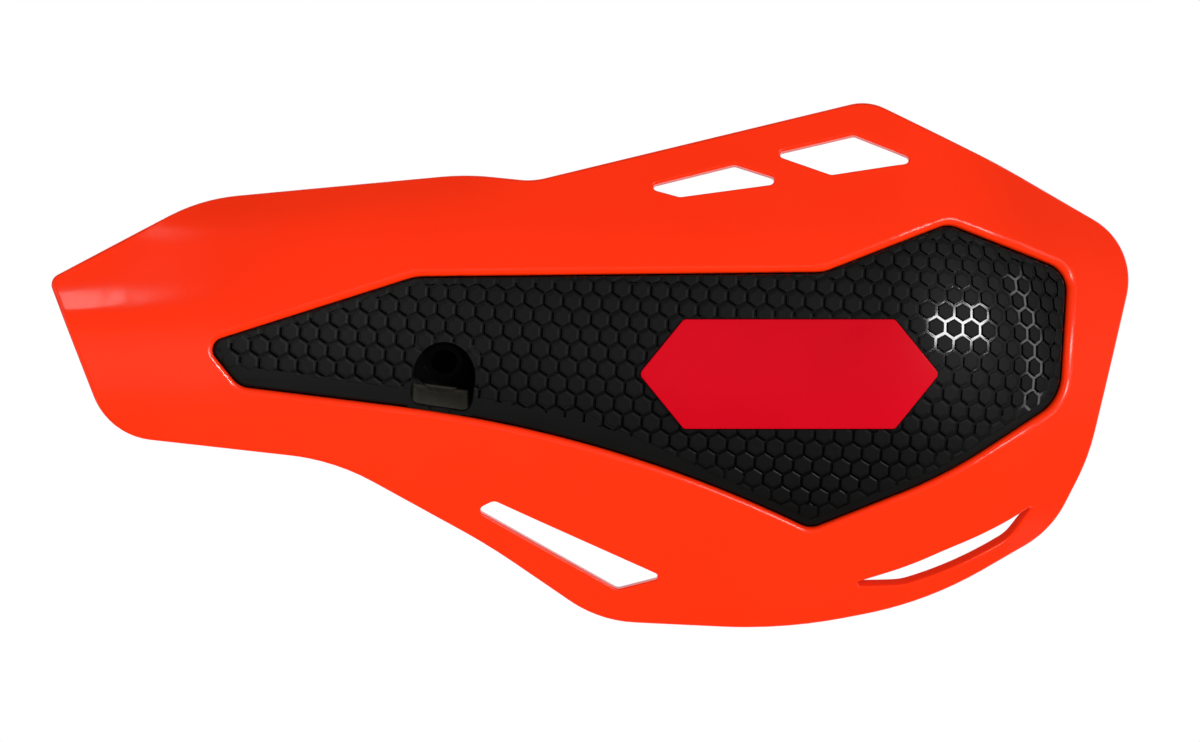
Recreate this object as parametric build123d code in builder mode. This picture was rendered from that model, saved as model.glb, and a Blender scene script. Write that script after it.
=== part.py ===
"""Motorcycle hand guard: a moulded orange shield with a black honeycomb panel let in from behind.

Drawn in millimetres and looked at from the front of the bike: X runs along the guard, Z is up and
Y points back towards the rider's hand. The outlines are drawn from the middle of the bolt pocket.
Every piece is moved at the end so that the origin is the middle of the bolt's seat.
"""

import os
from math import asin, atan2, cos, degrees, exp, log, radians, sin, sqrt, tan, tanh

from build123d import *

# The face: bowed from top to bottom, straight along the handlebar, wrapped back round the outer end
crown_radius = 76.0
crown_end = 38.0
bend_start = 109.0
bend_radius = 56.0
bend_angle = 48.0
wall = 3.0

# Shelf at the inner end, above the crease
shelf_depth = 4.0
crease_height = 16.5
crease_soft = 1.6
shelf_run = 3.0
shelf_spread = 0.2
spread_start = -90.0
spread_soft = 8.0
shelf_end = -50.0
shelf_fade = 14.0

# Lip that leans back along the top edge, and the lower outer border that rolls back
lip_slope = 0.4
lip_width = 5.5
lip_soft = 1.8
lip_point = (-60.0, 43.1)
lip_rise = 0.093
lip_start, lip_start_fade = -75.0, 12.0
lip_end, lip_end_fade = 12.0, 10.0
roll_slope = 0.4
roll_width = 11.0
roll_soft = 3.0
roll_point = (118.8, -56.0)
roll_direction = (0.36, -0.93)

# Corners of the outlines: X, Z and the radius of the corner
shield_outline = [
    (-97.5, 23.3, 2.8), (-60.1, 43.2, 45.0), (5.4, 49.3, 64.0), (21.8, 47.6, 17.5), (104.7, 67.7, 12.5),
    (137.1, 51.8, 200.0), (172.0, 31.9, 17.0), (159.3, -20.6, 54.0), (150.1, -38.7, 25.0),
    (119.1, -56.4, 96.0), (83.8, -63.2, 128.0), (38.2, -61.0, 31.0), (10.8, -42.2, 150.0),
    (-27.1, -21.3, 55.0), (-82.5, -15.1, 17.0),
]
opening_outline = [
    (-59.1, 7.5, 3.0), (-50.5, -3.1, 5.7), (39.6, -14.2, 320.0), (90.2, -38.1, 5.4), (123.4, -24.9, 120.0),
    (152.0, -6.4, 12.0), (154.0, 25.3, 6.8), (124.1, 37.0, 6.0), (93.5, 25.1, 11.0), (-7.0, 24.0, 13.7),
]
windows = [
    [(49.0, 46.2, 1.0), (71.6, 51.8, 1.5), (85.4, 47.4, 1.3), (58.1, 43.7, 2.0)],
    [(80.6, 54.4, 1.0), (101.1, 59.2, 1.5), (117.8, 52.4, 1.3), (95.5, 49.2, 2.0)],
    [(7.7, -33.5, 1.2), (12.3, -31.3, 2.0), (54.4, -50.3, 1.0), (42.7, -53.3, 2.0)],
    [(98.5, -52.6, 0.8), (124.0, -43.4, 60.0), (146.2, -31.9, 0.8), (139.5, -40.8, 6.0), (113.5, -52.2, 12.0)],
]
window_leans = [0.4, 0.4, 0.35, 0.8]
window_reach = 14.0
edge_round = 1.0
opening_round = 1.5
window_round = 0.6

# Honeycomb panel, let in from behind
panel_gap = 0.4
panel_recess = 0.8
panel_thickness = 3.0
panel_round = 0.6
seat_gap = 0.25
flange_width = 4.5
flange_thickness = 2.5
rim_width = 2.6
cell_pitch = 4.75
cell_turn = -4.0
cell_origin = (2.1, 3.71)
cell_rows = range(-14, 15)
cell_columns = range(-20, 44)
cell_limits = ((-62.0, 156.0), (-42.0, 40.0))
groove_width = 0.72
groove_depth = 0.55
border = 1.5
lower_border = 4.6
rib_thickness = 1.8
rib_height = 4.0
rib_foot = 0.5
ribs = [((-40, 9), (145, 9)), ((25, -8), (150, -8)), ((40, -20), (40, 30)), ((75, -40), (75, 30)),
        ((110, -40), (110, 40))]

# Bolt pocket and its boss
pocket_radius = 7.75
pocket_centre = -0.8
pocket_floor = 6.6
pocket_depth = 9.5
pocket_tilt = 24.0
pocket_roll = -8.0
boss_wall = 2.4
boss_start = 1.0
seat_thickness = 15.0
bush_radius = 4.5
bore_radius = 3.2

# Plain plate on the panel
plate_centre = (85.0, 0.0)
plate_length = 74.0
plate_height = 27.0
plate_point = 11.0
plate_corner = 1.5
plate_thickness = 1.2
plate_seat = 0.4
plate_gap = 0.15
plate_land = 0.5
plate_round = 0.35

# Screws that hold the panel, driven from behind into posts on the shield
screw_points = [(-60.5, -2.5), (2.0, 31.5), (60.0, 32.0), (106.3, 37.7), (141.4, 37.7), (141.6, -21.5),
                (72.0, -35.3), (-1.0, -16.5)]
screw_radius = 1.75
screw_length = 6.4
head_radius = 4.6
head_foot = 3.3
head_top = 2.3
head_height = 2.4
head_flange = 0.9
drive_length = 3.6
drive_width = 0.9
drive_depth = 1.2
post_radius = 3.4
lug_radius = 6.0
lug_height = 5.0
lug_start = 0.8
lug_gap = 0.3
thread_gap = 0.05
tip_gap = 0.2
head_gap = 0.1

# Sizes of the bodies that pieces are cut from, all larger than the pieces
reach = 120.0
straight_run = 14.0
flank_run = 40.0
boss_reach = 40.0
pocket_reach = 20.0
cut_over = 1.0
skin_step = 3.0
skin_start = (-104.0, -70.0)
skin_points = (96, 49)


def ramp(distance, soft):
    """Zero before the line and one for one after it, with a soft start."""
    return soft * (log(1 + exp(distance / soft)) if distance < 30 * soft else distance / soft)


def fade(t):
    return 0.5 + 0.5 * tanh(t)


def bow(z):
    """How far the face has fallen back at that height: an arc, then straight on."""
    height = min(abs(z), crown_end)
    rest = sqrt(crown_radius**2 - height**2)
    return crown_radius - rest + (abs(z) - height) * height / rest


def depth(x, z):
    """Y of the shield's front face."""
    turn = radians(bend_angle)
    past = x - bend_start
    radius = bend_radius - bow(z)
    if past <= 0:
        y = bow(z)
    elif past <= radius * sin(turn):
        y = bend_radius - sqrt(radius**2 - past**2)
    else:
        y = bend_radius - radius * cos(turn) + (past - radius * sin(turn)) * tan(turn)
    run = shelf_run + shelf_spread * ramp(x - spread_start, spread_soft)
    climb = ramp(z - crease_height, crease_soft) / run
    y += shelf_depth * fade((shelf_end - x) / shelf_fade) * climb / sqrt(1 + climb**2)
    top_edge = lip_point[1] + lip_rise * (x - lip_point[0])
    strength = fade((x - lip_start) / lip_start_fade) * fade((lip_end - x) / lip_end_fade)
    y += lip_slope * strength * ramp(z - top_edge + lip_width, lip_soft)
    outwards = roll_direction[0] * (x - roll_point[0]) + roll_direction[1] * (z - roll_point[1])
    y += roll_slope * ramp(outwards + roll_width, roll_soft)
    return y


def inward(x, z):
    """Unit normal of the front face, pointing into the material."""
    step = 0.05
    slope_x = (depth(x + step, z) - depth(x - step, z)) / (2 * step)
    slope_z = (depth(x, z + step) - depth(x, z - step)) / (2 * step)
    return Vector(-slope_x, 1, -slope_z).normalized()


def on_face(x, z, below=0.0):
    """Plane on the face at X, Z, that far under it, with its Z into the material."""
    normal = inward(x, z)
    return Plane(origin=Vector(x, depth(x, z), z) + normal * below, x_dir=(1, 0, 0), z_dir=normal)


def drawn(corners, margin=0.0):
    """Face in the XZ plane with rounded corners, grown by the margin."""
    with BuildSketch(Plane.XZ) as face:
        with BuildLine():
            FilletPolyline(*[(x, z) for x, z, r in corners], radius=[r for x, z, r in corners], close=True)
        make_face()
        if margin:
            offset(amount=margin, kind=Kind.ARC)
    return face.sketch


def layer(near, far):
    """Solid between two depths under the plain bowed and bent face."""
    half = degrees(asin(crown_end / crown_radius))
    centre = (crown_radius, 0)
    with BuildPart() as solid:
        with BuildSketch(Plane(origin=(-reach, 0, 0), x_dir=(0, 1, 0), z_dir=(1, 0, 0))):
            with BuildLine():
                ends = []
                for below in (near, far):
                    arc = CenterArc(centre, crown_radius - below, 180 - half, 2 * half)
                    upper = Line(arc @ 0, arc @ 0 - (arc % 0) * straight_run)
                    lower = Line(arc @ 1, arc @ 1 + (arc % 1) * straight_run)
                    ends.append((upper @ 1, lower @ 1))
                Line(ends[0][0], ends[1][0])
                Line(ends[0][1], ends[1][1])
            make_face()
        extrude(amount=reach + bend_start)
        at_bend = solid.faces().sort_by(Axis.X)[-1]
        revolve(at_bend, axis=Axis((bend_start, bend_radius, 0), (0, 0, 1)), revolution_arc=bend_angle)
        leaving = Axis((0, 0, 0), (cos(radians(bend_angle)), sin(radians(bend_angle)), 0))
        extrude(solid.faces().filter_by(leaving).sort_by(leaving)[-1], amount=flank_run)
    return solid.part


def from_layer(face, near, far):
    """The part of that layer that lies behind a drawn face."""
    with BuildPart() as piece:
        add(layer(near, far), clean=False)
        extrude(face.moved(Location((0, -reach / 2, 0))), amount=-1.5 * reach, mode=Mode.INTERSECT, clean=False)
    return piece.part


def turned(point):
    """How far round the bend a point lies, in degrees; negative before the bend."""
    return degrees(atan2(point.X - bend_start, bend_radius - point.Y))


def under(point):
    """How deep a point lies under the plain bowed and bent face."""
    past = point.X - bend_start
    left = bend_radius - point.Y
    turn = radians(bend_angle)
    if turned(point) <= 0:
        back = point.Y
    elif turned(point) <= bend_angle:
        back = bend_radius - sqrt(past**2 + left**2)
    else:
        back = bend_radius - past * sin(turn) - left * cos(turn)
    height = abs(point.Z)
    slope = crown_end / sqrt(crown_radius**2 - crown_end**2)
    if height > slope * (crown_radius - back):
        lean = atan2(slope, 1)
        return crown_radius - (crown_radius - back) * cos(lean) - height * sin(lean)
    return crown_radius - sqrt((crown_radius - back) ** 2 + height**2)


def on_rim(edge, below):
    """Whether an edge runs round the outline at that depth, and isn't a seam across the face."""
    angles = [turned(edge @ t) for t in (0, 0.5, 1)]
    across_face = max(angles) - min(angles) < 0.01
    heights = [(edge @ t).Z for t in (0, 0.5, 1)]
    along_face = max(heights) - min(heights) < 0.01
    return abs(under(edge @ 0.5) - below) < 0.02 and not across_face and not along_face


def on_cells(u, v):
    """X and Z of the point that lies u along and v up on the unrolled face."""
    z = crown_radius * sin(v / crown_radius)
    turn = radians(bend_angle)
    bent = min(max(u - bend_start, 0) / bend_radius, turn)
    flank = max(u - bend_start - bend_radius * turn, 0)
    return min(u, bend_start) + (bend_radius - bow(z)) * sin(bent) + flank * cos(turn), z


# Shield
head_seat = wall + seat_gap + lug_height


def skin(below):
    """The front face, or the one that far behind it, a little larger than the shield."""
    rows = []
    heights = [skin_start[1] + skin_step * j for j in range(skin_points[1])]
    for x in [skin_start[0] + skin_step * i for i in range(skin_points[0])]:
        rows.append([Vector(x, depth(x, z), z) + inward(x, z) * below for z in heights])
    return Face.make_surface_from_array_of_points(rows, tol=0.02, min_deg=3, max_deg=3)


faces = [skin(0), skin(wall)]
sides = []
for edge in faces[0].edges():
    partner = faces[1].edges().sort_by_distance(edge.center())[0]
    sides.append(Face.make_surface_from_curves(edge, partner))
blank = Solid(Shell([*faces, *sides]))
with BuildPart() as shield:
    add(blank)
    with BuildSketch(Plane.XZ):
        add(drawn(shield_outline))
        add(drawn(opening_outline), mode=Mode.SUBTRACT)
    extrude(amount=reach, both=True, mode=Mode.INTERSECT)
    for corners, lean in zip(windows, window_leans):
        flat = on_face(sum(c[0] for c in corners) / len(corners), sum(c[1] for c in corners) / len(corners))
        cut = Vector(lean * flat.z_dir.X, flat.z_dir.Y, lean * flat.z_dir.Z)
        middle = Plane(origin=flat.origin, x_dir=(cut.Y, -cut.X, 0), z_dir=cut)
        placed = [middle.to_local_coords(Vector(x, depth(x, z), z)) for x, z, r in corners]
        with BuildSketch(middle):
            with BuildLine():
                FilletPolyline(*[(p.X, p.Y) for p in placed], radius=[c[2] for c in corners], close=True)
            make_face()
    extrude(amount=window_reach, both=True, mode=Mode.SUBTRACT)
    face = shield.faces().sort_by(SortBy.AREA)[-2:].sort_by(Axis.Y)[0]
    holes = sorted(face.inner_wires(), key=lambda wire: wire.length)
    opening_edges = holes[-1].edges()
    window_edges = [edge for wire in holes[:-1] for edge in wire.edges()]
    fillet(face.outer_wire().edges(), radius=edge_round)
    fillet(opening_edges, radius=opening_round)
    fillet(window_edges, radius=window_round)
    with Locations([on_face(x, z, below=wall / 2) for x, z in screw_points]):
        Cylinder(post_radius, wall / 2 + seat_gap + lug_height - head_gap,
                 align=(Align.CENTER, Align.CENTER, Align.MIN))
    with Locations([on_face(x, z, below=head_seat - screw_length - tip_gap) for x, z in screw_points]):
        Cylinder(screw_radius + thread_gap, screw_length + cut_over, align=(Align.CENTER, Align.CENTER, Align.MIN),
                 mode=Mode.SUBTRACT)

# Honeycomb panel: plug, flange behind the shield, ribs and the boss for the bolt
panel_back = panel_recess + panel_thickness
flange_front = wall + seat_gap
tilt = radians(pocket_tilt)
bolt_axis = Vector(0, cos(tilt), sin(tilt))
roll = radians(pocket_roll)
across = Vector(cos(roll), -sin(tilt) * sin(roll), cos(tilt) * sin(roll))
pocket_start = Vector(0, panel_recess, pocket_centre)
pocket_plane = Plane(origin=pocket_start, x_dir=across, z_dir=bolt_axis)
seat = pocket_start + bolt_axis * pocket_depth


def arch(grow):
    """Cross-section of the pocket: round on top, flat floor."""
    with BuildSketch(pocket_plane) as section:
        Circle(pocket_radius + grow)
        with Locations((0, -(pocket_floor + grow) / 2)):
            Rectangle(2 * (pocket_radius + grow), pocket_floor + grow)
        with Locations((0, -(pocket_floor + grow) - reach / 2)):
            Rectangle(reach, reach, mode=Mode.SUBTRACT)
    return section.sketch


plate_half = plate_length / 2
plate_top = plate_height / 2
plate_x, plate_z = plate_centre
plate_shoulder = plate_half - plate_point
plate_outline = [
    (plate_x - plate_half, plate_z, plate_corner), (plate_x - plate_shoulder, plate_z - plate_top, plate_corner),
    (plate_x + plate_shoulder, plate_z - plate_top, plate_corner), (plate_x + plate_half, plate_z, plate_corner),
    (plate_x + plate_shoulder, plate_z + plate_top, plate_corner),
    (plate_x - plate_shoulder, plate_z + plate_top, plate_corner),
]

# Cells: rows of hexagons turned a little, drawn along the wrapped face
cells = []
turn = radians(cell_turn)
size = (cell_pitch - groove_width) / sqrt(3)
for row in cell_rows:
    for column in cell_columns:
        a = cell_pitch * (column + 0.5 * (row % 2))
        b = cell_pitch * sqrt(3) / 2 * row
        ring = []
        for k in range(6):
            corner = radians(60 * k + 30)
            p = a + size * cos(corner)
            q = b + size * sin(corner)
            u = cell_origin[0] + p * cos(turn) - q * sin(turn)
            v = cell_origin[1] + p * sin(turn) + q * cos(turn)
            ring.append(on_cells(u, v))
        if all(low < value < high for value, (low, high) in zip(ring[0], cell_limits)):
            cells.append(Face(Wire.make_polygon([Vector(x, 0, z) for x, z in ring])))

with BuildSketch(Plane.XZ) as grooves:
    add(drawn(opening_outline, -panel_gap - border))
    add(drawn(opening_outline, -panel_gap - border).moved(Location((0, 0, lower_border - border))),
        mode=Mode.INTERSECT)
    add(drawn(plate_outline, plate_gap + plate_land), mode=Mode.SUBTRACT)
    add(cells, mode=Mode.SUBTRACT)

with BuildPart() as panel:
    add(from_layer(drawn(opening_outline, -panel_gap), panel_recess, panel_back))
    fillet([edge for edge in panel.edges() if on_rim(edge, panel_recess)], radius=panel_round)
    with BuildSketch(Plane.XZ) as ring:
        add(drawn(opening_outline, flange_width))
        add(drawn(opening_outline, -rim_width), mode=Mode.SUBTRACT)
    add(from_layer(ring.sketch, flange_front, flange_front + flange_thickness))
    with BuildSketch(Plane.XZ) as webs:
        for start, end in ribs:
            with BuildLine():
                Line(start, end)
            trace(line_width=rib_thickness)
        add(drawn(opening_outline, -rim_width / 2), mode=Mode.INTERSECT)
    add(from_layer(webs.sketch, panel_back - rib_foot, panel_back + rib_height))
    with Locations([on_face(x, z, below=flange_front + lug_start) for x, z in screw_points]):
        Cylinder(lug_radius, lug_height - lug_start, align=(Align.CENTER, Align.CENTER, Align.MIN))
    with Locations([on_face(x, z, below=wall) for x, z in screw_points]):
        Cylinder(post_radius + lug_gap, lug_height + 2 * cut_over, align=(Align.CENTER, Align.CENTER, Align.MIN),
                 mode=Mode.SUBTRACT)
    with BuildPart(mode=Mode.PRIVATE) as boss:
        extrude(arch(boss_wall), amount=pocket_depth + seat_thickness)
        extrude(arch(boss_wall), amount=-pocket_reach)
        add(layer(panel_recess + boss_start, boss_reach), mode=Mode.INTERSECT)
    add(boss.part)
    extrude(arch(0), amount=pocket_depth, mode=Mode.SUBTRACT)
    extrude(arch(0), amount=-pocket_reach, mode=Mode.SUBTRACT)
    with Locations(Plane(origin=seat, x_dir=across, z_dir=bolt_axis)):
        Cylinder(bush_radius, seat_thickness + cut_over, align=(Align.CENTER, Align.CENTER, Align.MIN),
                 mode=Mode.SUBTRACT)
    above_panel = panel_recess - cut_over
    add(from_layer(drawn(plate_outline, plate_gap), above_panel, panel_recess + plate_seat), mode=Mode.SUBTRACT)
    add(from_layer(grooves.sketch, above_panel, panel_recess + groove_depth), mode=Mode.SUBTRACT, clean=False)

# Plate, bush and screws
with BuildPart() as plate:
    add(from_layer(drawn(plate_outline), panel_recess + plate_seat - plate_thickness, panel_recess + plate_seat))
    fillet([edge for edge in plate.edges() if on_rim(edge, panel_recess + plate_seat - plate_thickness)],
           radius=plate_round)

with BuildPart() as bush:
    with Locations(Plane(origin=seat, x_dir=across, z_dir=bolt_axis)):
        Cylinder(bush_radius, seat_thickness, align=(Align.CENTER, Align.CENTER, Align.MIN))
        Cylinder(bore_radius, seat_thickness, align=(Align.CENTER, Align.CENTER, Align.MIN), mode=Mode.SUBTRACT)

with BuildPart() as screw:
    Cylinder(screw_radius, screw_length, align=(Align.CENTER, Align.CENTER, Align.MAX))
    Cylinder(head_radius, head_flange, align=(Align.CENTER, Align.CENTER, Align.MIN))
    with Locations((0, 0, head_flange)):
        Cone(head_foot, head_top, head_height - head_flange, align=(Align.CENTER, Align.CENTER, Align.MIN))
    with BuildSketch(Plane.XY.offset(head_height)):
        Rectangle(drive_length, drive_width)
        Rectangle(drive_width, drive_length)
    extrude(amount=-drive_depth, mode=Mode.SUBTRACT)
screws = [screw.part.moved(on_face(x, z, below=head_seat).location) for x, z in screw_points]

to_seat = Location(-seat)
pieces = {
    "shield_shell": shield.part,
    "honeycomb_panel": panel.solids().sort_by(SortBy.VOLUME)[-1],
    "badge_plate": plate.part,
    "mount_bush": bush.part,
    "panel_screws": Compound(children=screws),
}
os.makedirs("parts", exist_ok=True)
for name, piece in pieces.items():
    moved = piece.moved(to_seat)
    moved.label = name
    export_step(moved, f"parts/{name}.step")
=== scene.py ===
# %% [markdown]
# # A motorcycle hand guard: the looks
#
# The guard is an orange moulded shield with a black honeycomb panel let into it from behind.
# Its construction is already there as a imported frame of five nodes, in metres: X runs along the
# guard, Z is up and Y points back to the rider's hand. This lesson gives every surface its finish,
# then lights it as a product is lit in a studio and looks at it from the front.

# %% Load the frame
import math

import bpy
from mathutils import Matrix, Vector


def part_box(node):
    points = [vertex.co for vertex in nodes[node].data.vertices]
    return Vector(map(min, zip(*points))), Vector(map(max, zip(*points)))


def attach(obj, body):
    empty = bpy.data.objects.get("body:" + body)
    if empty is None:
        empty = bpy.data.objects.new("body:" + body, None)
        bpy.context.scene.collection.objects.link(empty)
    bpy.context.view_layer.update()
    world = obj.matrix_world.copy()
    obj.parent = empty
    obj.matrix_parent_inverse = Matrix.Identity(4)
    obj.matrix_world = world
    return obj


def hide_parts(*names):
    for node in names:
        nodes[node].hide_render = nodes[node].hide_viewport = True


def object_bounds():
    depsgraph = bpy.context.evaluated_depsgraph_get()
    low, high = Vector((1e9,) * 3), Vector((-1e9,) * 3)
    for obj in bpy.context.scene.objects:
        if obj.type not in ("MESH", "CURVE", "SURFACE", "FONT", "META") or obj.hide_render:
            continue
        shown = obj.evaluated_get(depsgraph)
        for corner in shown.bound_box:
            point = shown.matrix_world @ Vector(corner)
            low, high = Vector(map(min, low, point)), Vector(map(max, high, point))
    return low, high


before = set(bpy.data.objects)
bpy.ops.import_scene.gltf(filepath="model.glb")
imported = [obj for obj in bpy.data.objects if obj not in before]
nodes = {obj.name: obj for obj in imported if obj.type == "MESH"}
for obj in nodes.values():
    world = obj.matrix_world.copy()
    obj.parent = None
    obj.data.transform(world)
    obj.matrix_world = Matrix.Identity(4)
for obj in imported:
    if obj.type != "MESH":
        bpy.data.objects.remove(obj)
cad_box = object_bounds()
for name in sorted(nodes):
    low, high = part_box(name)
    size = [round(1000 * (high[i] - low[i]), 1) for i in range(3)]
    print("node", name, "measures", size, "mm, triangles", len(nodes[name].data.polygons))


# %% [markdown]
# ## A small language for finishes
#
# A finish is a graph of nodes. It could be drawn by hand in the shader editor or linked socket by
# socket in code, but both are hard to read back. So a socket is wrapped in a class that understands
# sums and products: `1 - mask` adds a Math node by itself. All other nodes come from one method
# that takes the kind of node, its settings and what goes into its sockets.

# %% Sockets that can be added and multiplied
class Wire:
    """One output of a node, in an expression."""

    def __init__(self, graph, socket):
        self.graph = graph
        self.socket = socket

    def maths(self, operation, *others):
        """A Math node that starts from this wire."""
        return self.graph.maths(operation, self, *others)

    def __add__(self, other):
        return self.maths("ADD", other)

    def __sub__(self, other):
        return self.maths("SUBTRACT", other)

    def __rsub__(self, other):
        return self.graph.maths("SUBTRACT", other, self)

    def __mul__(self, other):
        return self.maths("MULTIPLY", other)

    def __abs__(self):
        return self.maths("ABSOLUTE")

    __radd__ = __add__
    __rmul__ = __mul__

    def step(self, low, high):
        """Zero below low, one above high and a soft change between them."""
        return self.graph.node("ShaderNodeMapRange", {"interpolation_type": "SMOOTHSTEP"},
                               {"Value": self, "From Min": low, "From Max": high}, out="Result")


# %% Nodes of a material or of the world
class Graph:
    """The nodes of a material or of the world, built from expressions."""

    def __init__(self, owner):
        owner.use_nodes = True
        self.tree = owner.node_tree
        self.tree.nodes.clear()

    def node(self, kind, settings=None, sockets=None, out=0):
        """Adds a node: its settings first, then the value or link of each socket."""
        made = self.tree.nodes.new(kind)
        for setting, value in (settings or {}).items():
            setattr(made, setting, value)
        for socket, value in (sockets or {}).items():
            self.feed(made.inputs[socket], value)
        return Wire(self, made.outputs[out]) if made.outputs else None

    def feed(self, socket, value):
        """Links a wire to a socket, or sets a plain value on it."""
        if isinstance(value, Wire):
            self.tree.links.new(value.socket, socket)
        else:
            socket.default_value = value

    def maths(self, operation, *values):
        return self.node("ShaderNodeMath", {"operation": operation}, dict(enumerate(values)))


# %% A finish with one shader
SHADER_SOCKETS = {
    "base_color": "Base Color", "roughness": "Roughness", "metallic": "Metallic", "normal": "Normal",
    "coat_weight": "Coat Weight", "coat_roughness": "Coat Roughness", "ior": "IOR",
    "specular": "Specular IOR Level",
}


class Finish(Graph):
    """A material with one Principled shader."""

    def __init__(self, name):
        self.material = bpy.data.materials.new(name)
        super().__init__(self.material)
        surface = self.node("ShaderNodeBsdfPrincipled", out="BSDF")
        self.shader = surface.socket.node
        self.node("ShaderNodeOutputMaterial", None, {"Surface": surface})
        self.place = self.node("ShaderNodeTexCoord", out="Object")

    def set(self, **values):
        """Sets sockets of the shader; base_color stands for Base Color."""
        for key, value in values.items():
            self.feed(self.shader.inputs[SHADER_SOCKETS[key]], value)

    def xyz(self):
        """The place on the object as three values in metres."""
        first = self.node("ShaderNodeSeparateXYZ", None, {0: self.place})
        return [Wire(self, output) for output in first.socket.node.outputs]

    def noise(self, grain, detail=2.0):
        """Soft random values from zero to one, with lumps of about that size in metres."""
        return self.node("ShaderNodeTexNoise", None,
                         {"Vector": self.place, "Scale": 1 / grain, "Detail": detail}, out="Fac")

    def mix(self, factor, first, second):
        return self.node("ShaderNodeMix", {"data_type": "RGBA"},
                         {"Factor": factor, "A": first, "B": second}, out="Result")

    def bump(self, height, depth):
        """A relief of that depth in metres, for the Normal socket."""
        return self.node("ShaderNodeBump", None, {"Height": height, "Distance": depth}, out="Normal")


# %% Colours, and how a piece is dressed
def screen(red, green, blue):
    """A colour as a screen shows it, from 0 to 255, as the linear colour that a shader takes."""
    linear = []
    for value in (red, green, blue):
        v = value / 255
        linear.append(v / 12.92 if v <= 0.04045 else ((v + 0.055) / 1.055) ** 2.4)
    return (*linear, 1.0)


def dress(obj, finish):
    """Puts a finish on a piece, without touching its mesh."""
    obj.data.materials.clear()
    obj.data.materials.append(finish.material)
    print("dressed", obj.name, "in", finish.material.name, "with", len(finish.tree.nodes), "nodes")


print("a screen's grey of 128 is", round(screen(128, 128, 128)[0], 3), "to a shader")


# %% [markdown]
# ## The orange moulding
#
# The shield is coloured right through and comes out of a polished mould, so it has a satin gloss,
# a very faint ripple where the plastic has shrunk, and colour that hardly varies. A picture could
# be laid over it, but noise that is worked out at each point has no seams on a bent shell and
# stays sharp close up.

# %% Satin orange plastic
def satin_orange():
    finish = Finish("satin_orange")
    cloud = finish.noise(grain=0.05)
    ripple = finish.noise(grain=0.0022, detail=3.0)
    colour = finish.mix(cloud, screen(246, 44, 4), screen(250, 48, 7))
    finish.set(base_color=colour, roughness=0.2 + 0.05 * cloud,
               normal=finish.bump(ripple, depth=0.000012), ior=1.49, specular=0.25)
    return finish


dress(nodes["shield_shell"], satin_orange())


# %% [markdown]
# ## The bolt pocket
#
# The bolt's head sits in an arched pocket: round on top, with a flat floor that rises inwards. In the
# packed panel this pocket is upside down. Its walls could be drawn anew face by face, but cutting it
# out, as a mill does, gives clean edges with the bowed face. So, in a copy of the panel, a plug closes
# the opening, and cutters take out the arch and the floor the right way up. The copy then stands for
# the panel.
#
# The pocket leans and is a little turned. Three directions are worked out once, and every block and
# cutter is given in them.

# %% Sizes and directions of the pocket
SEAT = Vector((0.0, 0.0094787, 0.0030640))  # from the origin of the face to the bolt's seat
POCKET_TILT = math.radians(24)
POCKET_ROLL = math.radians(-8)
POCKET_RADIUS = 0.00775
POCKET_FLOOR = 0.0072  # the floor lies this far below the bolt's axis


def pocket_axes():
    """To the right, up and out of the pocket, as seen from the front."""
    lift = Vector((0, -math.sin(POCKET_TILT), math.cos(POCKET_TILT)))
    right = Vector((math.cos(POCKET_ROLL), 0, 0)) + lift * math.sin(POCKET_ROLL)
    up = lift * math.cos(POCKET_ROLL) - Vector((math.sin(POCKET_ROLL), 0, 0))
    return right, up, right.cross(up)


POCKET_AXES = pocket_axes()
TO_POCKET = Matrix(POCKET_AXES).transposed()
print("out of the pocket:", [round(v, 3) for v in POCKET_AXES[2]])


# %% [markdown]
# ### A copy that can be cut
#
# The panel of the frame is a mesh of loose triangles and stays as it is. A Boolean cut needs a closed
# mesh, so the copy's corners are merged. The normals that came with it belong to the old faces, so
# they are cleared.

# %% Merged copy of the panel
MERGE_DISTANCE = 0.000001


def edit(obj):
    """Goes into edit mode with only this object, all of it selected."""
    bpy.ops.object.select_all(action="DESELECT")
    obj.select_set(True)
    bpy.context.view_layer.objects.active = obj
    bpy.ops.object.mode_set(mode="EDIT")
    bpy.ops.mesh.select_all(action="SELECT")


panel = bpy.data.objects.new("panel_moulding", nodes["honeycomb_panel"].data.copy())
bpy.context.collection.objects.link(panel)
edit(panel)
bpy.ops.mesh.remove_doubles(threshold=MERGE_DISTANCE)
bpy.ops.object.mode_set(mode="OBJECT")
bpy.ops.mesh.customdata_custom_splitnormals_clear()
print("panel merged to", len(panel.data.vertices), "corners")


# %% Blocks and cuts
def settled(name):
    """The new primitive, named and with its place in its mesh."""
    obj = bpy.context.object
    obj.name = name
    bpy.ops.object.transform_apply()
    return obj


def pocket_block(name, left, right, low, high, start, end):
    """A box in the directions of the pocket."""
    middle = TO_POCKET @ Vector(((left + right) / 2, (low + high) / 2, (start + end) / 2))
    bpy.ops.object.select_all(action="DESELECT")
    bpy.ops.mesh.primitive_cube_add(size=1.0, location=middle, rotation=TO_POCKET.to_euler(),
                                    scale=(right - left, high - low, end - start))
    return settled(name)


def combine(target, tool, operation):
    """Applies a Boolean modifier and takes the tool away."""
    boolean = target.modifiers.new(tool.name, "BOOLEAN")
    boolean.operation = operation
    boolean.object = tool
    boolean.solver = "MANIFOLD"
    bpy.context.view_layer.objects.active = target
    bpy.ops.object.modifier_apply(modifier=boolean.name)
    bpy.data.objects.remove(tool)
    print(target.name, operation.lower(), "leaves", len(target.data.polygons), "faces")


# %% [markdown]
# ### The plug
#
# A flat plug would stand out of the bowed face or leave a dent. So it is a block cut to the cylinder
# that the face lies on, a hair below it, and it reaches a little past the old opening on all sides.

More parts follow.
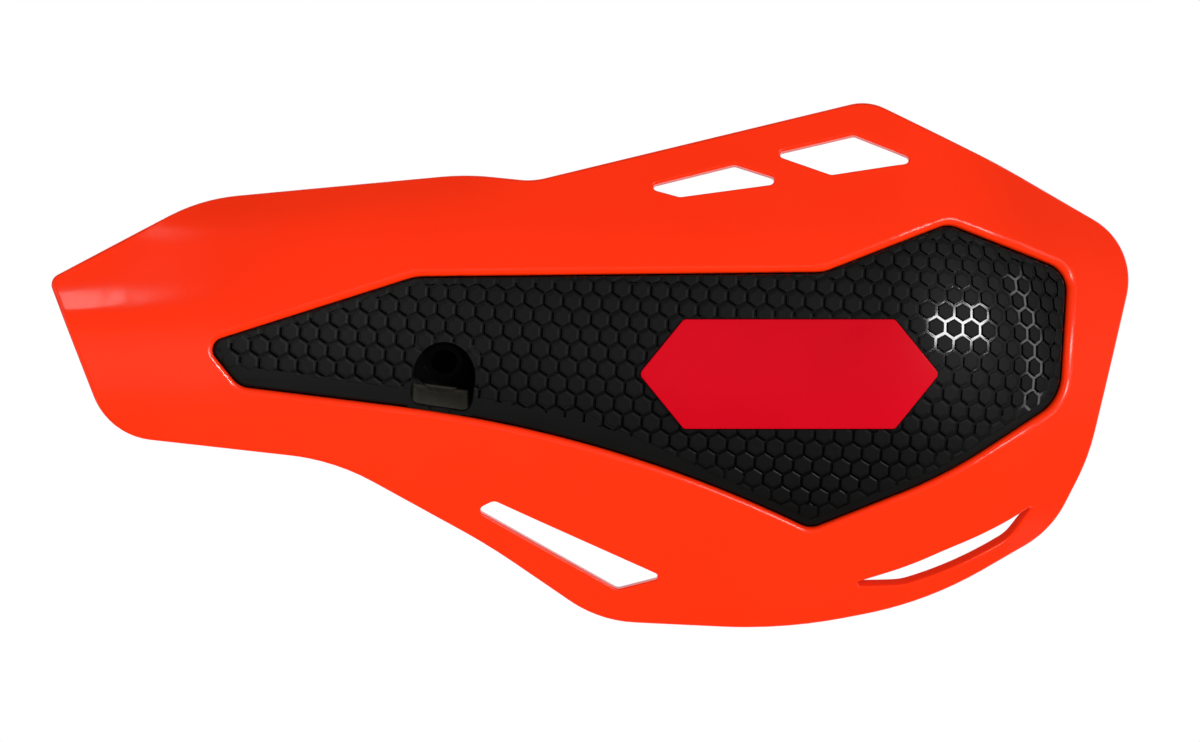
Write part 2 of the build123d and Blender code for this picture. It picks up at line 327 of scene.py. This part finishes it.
# %% Close the opening
CROWN = 0.076  # radius of the face's bow from top to bottom
RECESS = 0.0008  # how far the panel's face lies below the shield's
PLUG_OVERLAP = 0.0003
PLUG_SUNK = 0.00003
PLUG_START = 0.00005
PLUG_END = 0.02
PLUG_SPAN = 0.06

wide = POCKET_RADIUS + PLUG_OVERLAP
plug = pocket_block("plug", -wide, wide, -wide, wide, PLUG_START, PLUG_END)
bpy.ops.object.select_all(action="DESELECT")
bpy.ops.mesh.primitive_cylinder_add(vertices=720, radius=CROWN - RECESS - PLUG_SUNK, depth=PLUG_SPAN,
                                    location=(0, CROWN - SEAT.y, -SEAT.z),
                                    rotation=(0, math.radians(90), 0))
combine(plug, settled("bowed_face"), "INTERSECT")
combine(panel, plug, "UNION")

# %% [markdown]
# ### Arch and floor
#
# A cylinder alone would cut a round hole, so it is first cut off level with the floor. The floor is as
# wide as the arch and has two rounded corners: they come from a block with two bevelled edges, which
# are found by their direction and their place below the axis.

# %% Cut the arch
CUT_LENGTH = 0.03
CUT_SPARE = 0.001

bpy.ops.object.select_all(action="DESELECT")
bpy.ops.mesh.primitive_cylinder_add(vertices=128, radius=POCKET_RADIUS, depth=CUT_LENGTH,
                                    location=TO_POCKET @ Vector((0, 0, CUT_LENGTH / 2)),
                                    rotation=TO_POCKET.to_euler())
arch = settled("arch_cutter")
above_floor = pocket_block("above_floor", -wide, wide, -POCKET_FLOOR, wide,
                           -CUT_SPARE, CUT_LENGTH + CUT_SPARE)
combine(arch, above_floor, "INTERSECT")
combine(panel, arch, "DIFFERENCE")

# %% Cut the floor
FLOOR_CORNER = 0.0025
FLOOR_CUT_TOP = 0.0005
PARALLEL = 0.99

floor_block = pocket_block("floor_cutter", -POCKET_RADIUS, POCKET_RADIUS, -POCKET_FLOOR, FLOOR_CUT_TOP,
                           0, CUT_LENGTH)
edit(floor_block)
bpy.ops.mesh.select_all(action="DESELECT")
bpy.ops.object.mode_set(mode="OBJECT")
for side in floor_block.data.edges:
    ends = [floor_block.data.vertices[i].co for i in side.vertices]
    along_pocket = abs((ends[1] - ends[0]).normalized().dot(POCKET_AXES[2])) > PARALLEL
    side.select = along_pocket and ends[0].dot(POCKET_AXES[1]) < 0
bpy.ops.object.mode_set(mode="EDIT")
bpy.ops.mesh.bevel(offset=FLOOR_CORNER, segments=8, affect="EDGES")
bpy.ops.object.mode_set(mode="OBJECT")
combine(panel, floor_block, "DIFFERENCE")

# %% Put the panel in its place
SHARP_ANGLE = math.radians(30)

bpy.ops.object.select_all(action="DESELECT")
panel.select_set(True)
bpy.context.view_layer.objects.active = panel
bpy.ops.object.shade_smooth_by_angle(angle=SHARP_ANGLE)
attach(panel, "root")
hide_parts("honeycomb_panel")
print("panel with its pocket:", len(panel.data.polygons), "faces")


# %% [markdown]
# ## The black honeycomb
#
# The panel's cells are etched matte and the grooves between them are polished, so under a lamp the
# grooves light up and the cells stay dark. A flat picture of hexagons would stretch on a face that is
# bowed and bends back at its outer end. So the pattern is worked out on the unrolled face: where a
# point lies along the bend, and how far it is from the middle of the nearest hexagon.

# %% The face unrolled
BEND_START = 0.109
BEND_RADIUS = 0.056
BEND_TURN = math.radians(48)


def unrolled_face(finish):
    """How far along, how far up and how deep under the shield's bowed face a point lies."""
    x, y, z = finish.xyz()
    z = z + SEAT.z
    past = x - BEND_START
    left = BEND_RADIUS - SEAT.y - y
    turned = past.maths("ARCTAN2", left).maths("MAXIMUM", 0.0).maths("MINIMUM", BEND_TURN)
    sine = turned.maths("SINE")
    cosine = turned.maths("COSINE")
    along = BEND_START + BEND_RADIUS * turned + past * cosine - left * sine
    to_axis = CROWN - BEND_RADIUS + past * sine + left * cosine
    up = CROWN * z.maths("ARCTAN2", to_axis)
    from_axis = (to_axis * to_axis + z * z).maths("SQRT")
    return along, up, CROWN - from_axis


print("the bend takes", round(1000 * BEND_RADIUS * BEND_TURN, 1), "mm of the face")


# %% Distance to the middle of the nearest hexagon
PITCH = 0.00475
CELL_TURN = math.radians(-4.0)
CELL_ORIGIN = (0.0021, 0.00371)


def cell_distance(along, up):
    """From zero in the middle of a hexagon to half the pitch on its border."""
    u = along - CELL_ORIGIN[0]
    v = up - CELL_ORIGIN[1]
    a = u * math.cos(CELL_TURN) + v * math.sin(CELL_TURN)
    b = v * math.cos(CELL_TURN) - u * math.sin(CELL_TURN)
    rise = PITCH * math.sqrt(3)

    def from_row(shift):
        across = abs((a + shift * PITCH).maths("WRAP", PITCH / 2, -PITCH / 2))
        over = abs((b + shift * rise).maths("WRAP", rise / 2, -rise / 2))
        return across.maths("MAXIMUM", across * 0.5 + over * (math.sqrt(3) / 2))

    return from_row(0.0).maths("MINIMUM", from_row(0.5))


print("cells of", 1000 * PITCH, "mm, rows", round(500 * PITCH * math.sqrt(3), 2), "mm apart")


# %% [markdown]
# ### Where the cells end
#
# Two places need a mask. Inside the pocket the plastic is smooth, so a point's distance from the
# bolt's axis and from the floor is measured. Along the lower edge the real panel has a plain border,
# wide on the inner side and narrow on the outer one. The moulding beneath has the wide border on both
# sides, so on the outer side the finish draws the last grooves.

# %% Pocket and lower border
INNER_EDGE = ((-0.0505, -0.0031), (0.0396, -0.0142))
OUTER_EDGE = ((0.0396, -0.0142), (0.0902, -0.0381), (0.1234, -0.0249), (0.152, -0.0064))
INNER_BORDER = 0.0046
OUTER_BORDER = 0.002
BAND_START = 0.03
MASK_SOFT = 0.0001


def in_pocket(finish):
    """How far a point lies from the bolt's axis, and how far above the floor of the pocket."""
    x, y, z = finish.xyz()
    right, up = [x * axis.x + y * axis.y + z * axis.z for axis in POCKET_AXES[:2]]
    return (right * right + up * up).maths("SQRT"), up + POCKET_FLOOR


def over_edge(finish, start, end, border):
    """One where a point lies further than the border over a line in the front view."""
    x, _, z = finish.xyz()
    length = math.hypot(end[0] - start[0], end[1] - start[1])
    along_x = (end[0] - start[0]) / length
    along_z = (end[1] - start[1]) / length
    over = (z + (SEAT.z - start[1])) * along_x - (x - start[0]) * along_z
    return over.step(border - MASK_SOFT, border + MASK_SOFT)


def celled_bands(finish):
    """Where cells lie above the lower border: on the inner side and on the outer one."""
    outer = finish.xyz()[0].step(BAND_START, BAND_START + MASK_SOFT)
    inner = (1 - outer) * over_edge(finish, *INNER_EDGE, INNER_BORDER)
    for start, end in zip(OUTER_EDGE, OUTER_EDGE[1:]):
        outer = outer * over_edge(finish, start, end, OUTER_BORDER)
    return inner, outer


print("border of", 1000 * INNER_BORDER, "mm on the inner side,", 1000 * OUTER_BORDER, "mm on the outer")


# %% [markdown]
# ### Cells, grooves and pocket in one finish
#
# A groove is known by its depth under the face. Where the plug or the lower band has no groove of its
# own, it is drawn from the hexagons. Polish is a clear coat on the grooves only, and a matte grain
# lies on the cells, whose shoulders are rounded with a little relief. In the pocket light and shade are
# painted: the floor is painted a paler grey as if lit, and the walls near black as painted shade.

# %% Matte cells between polished grooves
GROOVE = 0.00072
CELL_EDGE = (PITCH - GROOVE) / 2
GROOVE_DEPTH = 0.00055
GROOVE_SOFT = 0.00005
GROOVE_WALL = 0.2  # share of the depth that still counts as wall, above and below
DEEPER = (0.0003, 0.0006)  # below the grooves' floor the pocket and the back begin
PLUG_RADIUS = 0.0088
POCKET_REACH = 0.0107
FLOOR_BLEND = (0.0003, 0.0008)
SHOULDER = 0.0006
SHOULDER_DEPTH = 0.00012
GRAIN_DEPTH = 0.00002


def groove_masks(from_cell, from_bolt, under, outer):
    """Where the grooves are polished, and what lies deeper than they do."""
    bottom = RECESS + GROOVE_DEPTH
    wall = GROOVE_WALL * GROOVE_DEPTH
    on_plug = 1 - from_bolt.step(PLUG_RADIUS, PLUG_RADIUS + MASK_SOFT)
    between = from_cell.step(CELL_EDGE - GROOVE_SOFT, CELL_EDGE + GROOVE_SOFT)
    drawn = between * outer.maths("MAXIMUM", on_plug)
    sunk = under.step(RECESS + wall, bottom - wall)
    deep = under.step(bottom + DEEPER[0], bottom + DEEPER[1])
    return sunk.maths("MAXIMUM", drawn) * (1 - deep), deep


def honeycomb_black():
    finish = Finish("honeycomb_black")
    along, up, under = unrolled_face(finish)
    from_cell = cell_distance(along, up)
    from_bolt, above_floor = in_pocket(finish)
    inner, outer = celled_bands(finish)
    polished, deep = groove_masks(from_cell, from_bolt, under, outer)

    grain = finish.noise(grain=0.00025, detail=3.0)
    cell = finish.mix(finish.noise(grain=0.012), screen(9, 10, 9), screen(14, 15, 14))
    face = finish.mix(polished, cell, screen(3, 3, 4))
    # Painted light and shade: the pocket's floor is painted a paler grey as if lit, its walls near
    # black as painted shade.
    painted_pocket_light_and_shade = finish.mix(above_floor.step(*FLOOR_BLEND), screen(66, 63, 55), screen(2, 2, 2))
    inside = deep * (1 - from_bolt.step(POCKET_REACH, POCKET_REACH + MASK_SOFT))

    shoulder = 1 - from_cell.step(CELL_EDGE - SHOULDER, CELL_EDGE)
    relief = shoulder * (inner + outer) * SHOULDER_DEPTH + grain * GRAIN_DEPTH
    finish.set(base_color=finish.mix(inside, face, painted_pocket_light_and_shade), roughness=0.6 + 0.08 * grain, specular=0.16,
               normal=finish.bump(relief * (1 - polished), depth=1.0),
               coat_weight=polished, coat_roughness=0.12)
    return finish


dress(panel, honeycomb_black())


# %% [markdown]
# ## The plate, the bush and the screws
#
# The plate is a plain red moulding with a satin face. The bush and the screws are steel: dull black
# zinc on the bush, grey zinc on the screws, both a little uneven as such coatings are. One finish
# serves both, because they differ only in colour and gloss: cloudy zinc, with fine scratches.

# %% Red plate
def plate_red():
    finish = Finish("plate_red")
    grain = finish.noise(grain=0.0003, detail=3.0)
    colour = finish.mix(finish.noise(grain=0.02), screen(186, 0, 20), screen(200, 4, 26))
    finish.set(base_color=colour, roughness=0.38 + 0.06 * grain,
               normal=finish.bump(grain, depth=0.00001), specular=0.05)
    return finish


dress(nodes["badge_plate"], plate_red())


# %% Coated steel
def coated_steel(name, dark, pale, metallic, roughness, specular):
    finish = Finish(name)
    cloud = finish.noise(grain=0.003, detail=4.0)
    scratch = finish.noise(grain=0.0004, detail=4.0)
    finish.set(base_color=finish.mix(cloud, dark, pale), metallic=metallic, specular=specular,
               roughness=roughness + 0.12 * scratch, normal=finish.bump(scratch, depth=0.000008))
    return finish


black_zinc = coated_steel("black_zinc", screen(4, 4, 4), screen(8, 8, 8),
                          metallic=0.0, roughness=0.6, specular=0.0)
grey_zinc = coated_steel("grey_zinc", screen(120, 120, 122), screen(150, 150, 150),
                         metallic=1.0, roughness=0.28, specular=0.5)
dress(nodes["mount_bush"], black_zinc)
dress(nodes["panel_screws"], grey_zinc)

# %% [markdown]
# ## The studio
#
# The guard is looked at straight from the front and from far away, so that lines hardly converge. A
# camera near by would show the end that bends back too small, so it stands six metres off with a long
# lens. Its place follows from the size of a pixel on the guard and from the pixel of the face's
# origin, which lies in the pocket.

# %% Camera
PIXEL = 0.0002461
IMAGE = (1200, 742)
POCKET_PIXEL = (444, 374)
DISTANCE = 6.0

sight_x = (IMAGE[0] / 2 - POCKET_PIXEL[0]) * PIXEL
sight_z = (POCKET_PIXEL[1] - IMAGE[1] / 2) * PIXEL - SEAT.z
bpy.ops.object.select_all(action="DESELECT")
bpy.ops.object.camera_add(location=(sight_x, -SEAT.y - DISTANCE, sight_z),
                          rotation=(math.radians(90), 0, 0))
camera = bpy.context.object
camera.name = "camera"
camera.data.sensor_width = 36.0
camera.data.lens = camera.data.sensor_width * DISTANCE / (IMAGE[0] * PIXEL)
camera.data.clip_start = 0.1
camera.data.clip_end = 60.0
bpy.context.scene.camera = camera
print("camera", [round(v, 4) for v in camera.location], "lens", round(camera.data.lens, 1), "mm")


# %% [markdown]
# ### The white room
#
# A white ground could come from strong light on a backdrop, but that light would fall on the guard as
# well. Instead the world is white to the camera and in reflections, and dimmer as a source of light.
# The Light Path node tells these rays apart.

# %% World
ROOM_LIGHT = 0.57
WHITE = (1, 1, 1, 1)


def studio_world():
    world = bpy.data.worlds.new("studio")
    bpy.context.scene.world = world
    room = Graph(world)
    seen = room.node("ShaderNodeLightPath", out="Is Camera Ray")
    for ray in ("Is Glossy Ray", "Is Transmission Ray"):
        seen = seen.maths("MAXIMUM", room.node("ShaderNodeLightPath", out=ray))
    strength = ROOM_LIGHT + (1 - ROOM_LIGHT) * seen
    light = room.node("ShaderNodeBackground", None, {"Color": WHITE, "Strength": strength})
    room.node("ShaderNodeOutputWorld", None, {"Surface": light})
    print("room of", len(room.tree.nodes), "nodes")


studio_world()

# %% [markdown]
# ### Floor and dark tent
#
# The floor is a plain pale sheet well below the guard. The low lamp shines up through it, so the floor
# casts no shadow, and reflections don't see it, because its pale image would fill the lower grooves.
# A dark tent stands all round, open only behind the guard, as dark cloths do in a studio, so that the
# black panel doesn't mirror the white room. Only reflections see the tent.

# %% Floor
FLOOR_DROP = 0.08
FLOOR_RADIUS = 1.5


def plain(name, colour, roughness):
    finish = Finish(name)
    finish.set(base_color=colour, roughness=roughness, specular=0.0)
    return finish.material


bpy.ops.object.select_all(action="DESELECT")
bpy.ops.mesh.primitive_circle_add(vertices=96, radius=FLOOR_RADIUS, fill_type="NGON",
                                  location=(sight_x, 0, cad_box[0].z - FLOOR_DROP))
floor = bpy.context.object
floor.name = "floor"
floor.data.materials.append(plain("pale_floor", screen(238, 238, 238), 0.9))
floor.visible_shadow = False
floor.visible_glossy = False
print("floor at", round(floor.location.z, 3), "m")

# %% Dark tent
TENT_RADIUS = 8.0
TENT_END = 4.5

bpy.ops.object.select_all(action="DESELECT")
bpy.ops.mesh.primitive_uv_sphere_add(segments=48, ring_count=24, radius=TENT_RADIUS)
tent = bpy.context.object
tent.name = "dark_tent"
edit(tent)
bpy.ops.mesh.bisect(plane_co=(0, TENT_END, 0), plane_no=(0, 1, 0), clear_outer=True)
bpy.ops.object.mode_set(mode="OBJECT")
tent.data.materials.append(plain("tent_black", screen(16, 16, 16), 0.9))
tent.visible_camera = False
tent.visible_diffuse = False
tent.visible_shadow = False
print("tent of", len(tent.data.polygons), "faces")


# %% [markdown]
# ### Lamps
#
# A lamp that lights a glossy face evenly is also mirrored in it as a pale patch. So the work is
# divided. Broad fills light the guard and are hidden from reflections. Boxes light nothing and are
# only mirrored: tall ones at the sides draw the lines on the edges, and a strip draws the streak in
# the grooves. Two small cards near the guard draw the line in the crease and the one on the panel's
# inner end; their beams are narrow, so that hardly any other edge lights up.

# %% Fills, boxes and cards
MIDDLE = Vector((sight_x, 0, sight_z))
CREASE = Vector((-0.078, -0.003, 0.0142))
PANEL_END = Vector((-0.054, -0.009, -0.002))


def soft_box(name, direction, distance, size, power, lights=True, mirrored=True, aim=MIDDLE, beam=None):
    """A lamp that looks at the guard; direction is azimuth (0 is the camera's side, 90 the right)
    and elevation in degrees, beam is the angle of its light in radians."""
    azimuth, elevation = [math.radians(angle) for angle in direction]
    towards = Vector((math.sin(azimuth) * math.cos(elevation), -math.cos(azimuth) * math.cos(elevation),
                      math.sin(elevation)))
    bpy.ops.object.select_all(action="DESELECT")
    bpy.ops.object.light_add(type="AREA", location=aim + towards * distance,
                             rotation=towards.to_track_quat("Z", "Y").to_euler())
    lamp = bpy.context.object
    lamp.name = name
    lamp.data.shape = "RECTANGLE"
    lamp.data.size, lamp.data.size_y = size
    lamp.data.energy = power
    if beam:
        lamp.data.spread = beam
    lamp.visible_camera = False
    lamp.visible_diffuse = lights
    lamp.visible_glossy = mirrored
    print("lamp", name, [round(v, 2) for v in lamp.location], power, "W")


soft_box("front_fill", (0, -5), 3.0, (2.2, 2.2), power=40.0, mirrored=False)
soft_box("low_fill", (10, -42), 2.5, (1.6, 1.6), power=32.0, mirrored=False)
soft_box("crease_card", (-5, 67), 0.2, (0.06, 0.02), power=0.0003, lights=False, aim=CREASE, beam=0.12)
soft_box("end_card", (48, 31), 0.25, (0.06, 0.04), power=0.008, lights=False, aim=PANEL_END, beam=0.3)
soft_box("left_box", (-78, 5), 1.5, (0.3, 2.6), power=8.0, lights=False)
soft_box("right_fill", (65, 8), 2.5, (1.2, 1.2), power=12.0, mirrored=False)
soft_box("right_box", (84, 8), 1.5, (0.3, 1.1), power=2.6, lights=False)
soft_box("strip_box", (43, 17), 1.5, (0.8, 0.3), power=18.0, lights=False)

# %% [markdown]
# ## Finish
#
# The view is set to Standard, so that colours come out as they are written.

# %% View
bpy.context.scene.view_settings.view_transform = "Standard"
